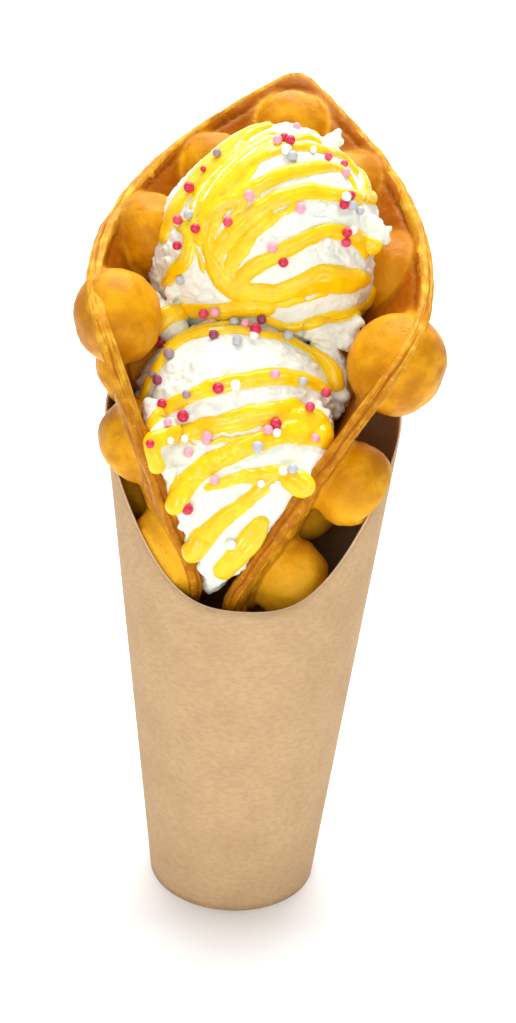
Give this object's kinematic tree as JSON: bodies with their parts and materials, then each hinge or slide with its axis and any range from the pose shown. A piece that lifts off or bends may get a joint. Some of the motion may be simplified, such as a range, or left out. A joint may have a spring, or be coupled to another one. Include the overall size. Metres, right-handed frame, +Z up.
{
  "type": "bubble waffle",
  "caption": "Bubble waffle folded upright in a plain card cup, holding whipped-cream scoops with drizzled sauce and sugar pearls.",
  "frame": {"origin": "centre of the flat underside of the cup", "axes": "+Z up along the cup's axis, -Y towards the viewer's side where the waffle is open, +X to that viewer's right"},
  "size_m": [0.0992, 0.1101, 0.2409],
  "materials": {
    "card": "plain unbleached kraft card, matt and finely fibrous",
    "crust": null,
    "cream": null
  },
  "bodies": {
    "root": {"holder": "card", "waffle": "crust", "scoop_upper": "cream", "scoop_lower": "cream"}
  },
  "joints": []
}
